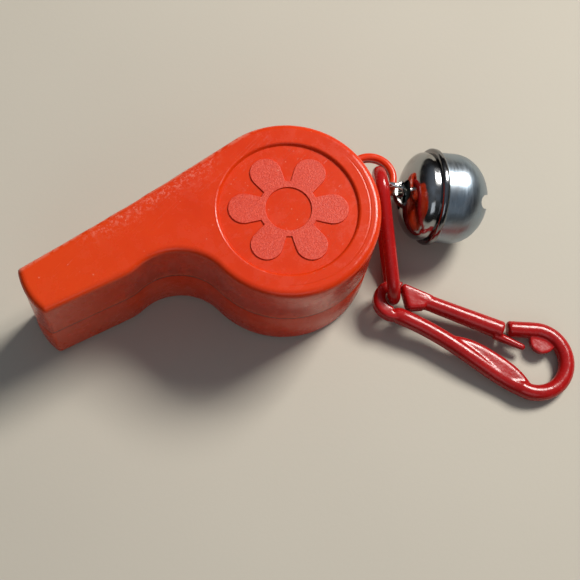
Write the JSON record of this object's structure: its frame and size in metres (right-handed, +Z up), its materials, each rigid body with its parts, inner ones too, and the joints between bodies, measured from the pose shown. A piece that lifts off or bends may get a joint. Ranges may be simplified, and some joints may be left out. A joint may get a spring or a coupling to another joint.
{
  "type": "training whistle",
  "caption": "Plastic pea whistle lying on its side, with a flower badge on each face, a lanyard loop, a jingle bell on a jump ring, and a snap clip on a long link",
  "frame": {"origin": "where the axis of the round chamber meets the surface that the whistle lies on", "axes": "+X from the mouth end to the lanyard loop, +Y towards the straight windway side, +Z up along the chamber's axis"},
  "size_m": [0.0572, 0.0422, 0.016],
  "materials": {
    "shell_orange": "gloss",
    "clip_red": "gloss",
    "bell_crown_steel": "mirror",
    "bell_base_steel": "satin",
    "wire_steel": "bright",
    "pea_cork": "matte",
    "ball_steel": "bright"
  },
  "bodies": {
    "whistle": {"front_shell": "shell_orange", "rear_shell": "shell_orange"},
    "whistle_pea": {"pea": "pea_cork"},
    "ring": {"jump_ring": "wire_steel"},
    "bell": {"bell_crown": "bell_crown_steel", "bell_base": "bell_base_steel"},
    "ball": {"bell_ball": "ball_steel"},
    "link": {"chain_link": "clip_red"},
    "clip": {"clip_body": "clip_red"},
    "gate": {"clip_gate": "clip_red"}
  },
  "joints": [
    {"name": "pea_orbit", "type": "hinge", "parent": "whistle", "child": "whistle_pea", "pos_m": [0, 0, 0.008], "axis": [0, 0, 1], "continuous": true},
    {"name": "ring_swing", "type": "hinge", "parent": "whistle", "child": "ring", "pos_m": [0.01445, -0.00051, 0.008], "axis": [-0.6157, -0.788, 0], "range_deg": [0, 60]},
    {"name": "bell_swing", "type": "hinge", "parent": "ring", "child": "bell", "pos_m": [0.01565, -0.00145, 0.0069], "axis": [0, 0, 1], "range_deg": [-8, 15]},
    {"name": "ball_roll", "type": "hinge", "parent": "bell", "child": "ball", "pos_m": [0.01882, -0.00298, 0.00615], "axis": [0.8804, -0.4256, -0.2089], "continuous": true},
    {"name": "link_swing", "type": "hinge", "parent": "whistle", "child": "link", "pos_m": [0.013, -0.00105, 0.008], "axis": [-0.9482, 0.3177, 0], "range_deg": [0, 25]},
    {"name": "clip_swing", "type": "hinge", "parent": "link", "child": "clip", "pos_m": [0.00935, -0.01193, 0.0029], "axis": [0, 0, 1], "range_deg": [-80, 20]},
    {"name": "gate_flex", "type": "hinge", "parent": "clip", "child": "gate", "pos_m": [0.01112, -0.01137, 0.00284], "axis": [-0.0536, 0.0608, -0.9967], "range_deg": [0, 6], "stiffness_Nm_per_rad": 0.02}
  ]
}
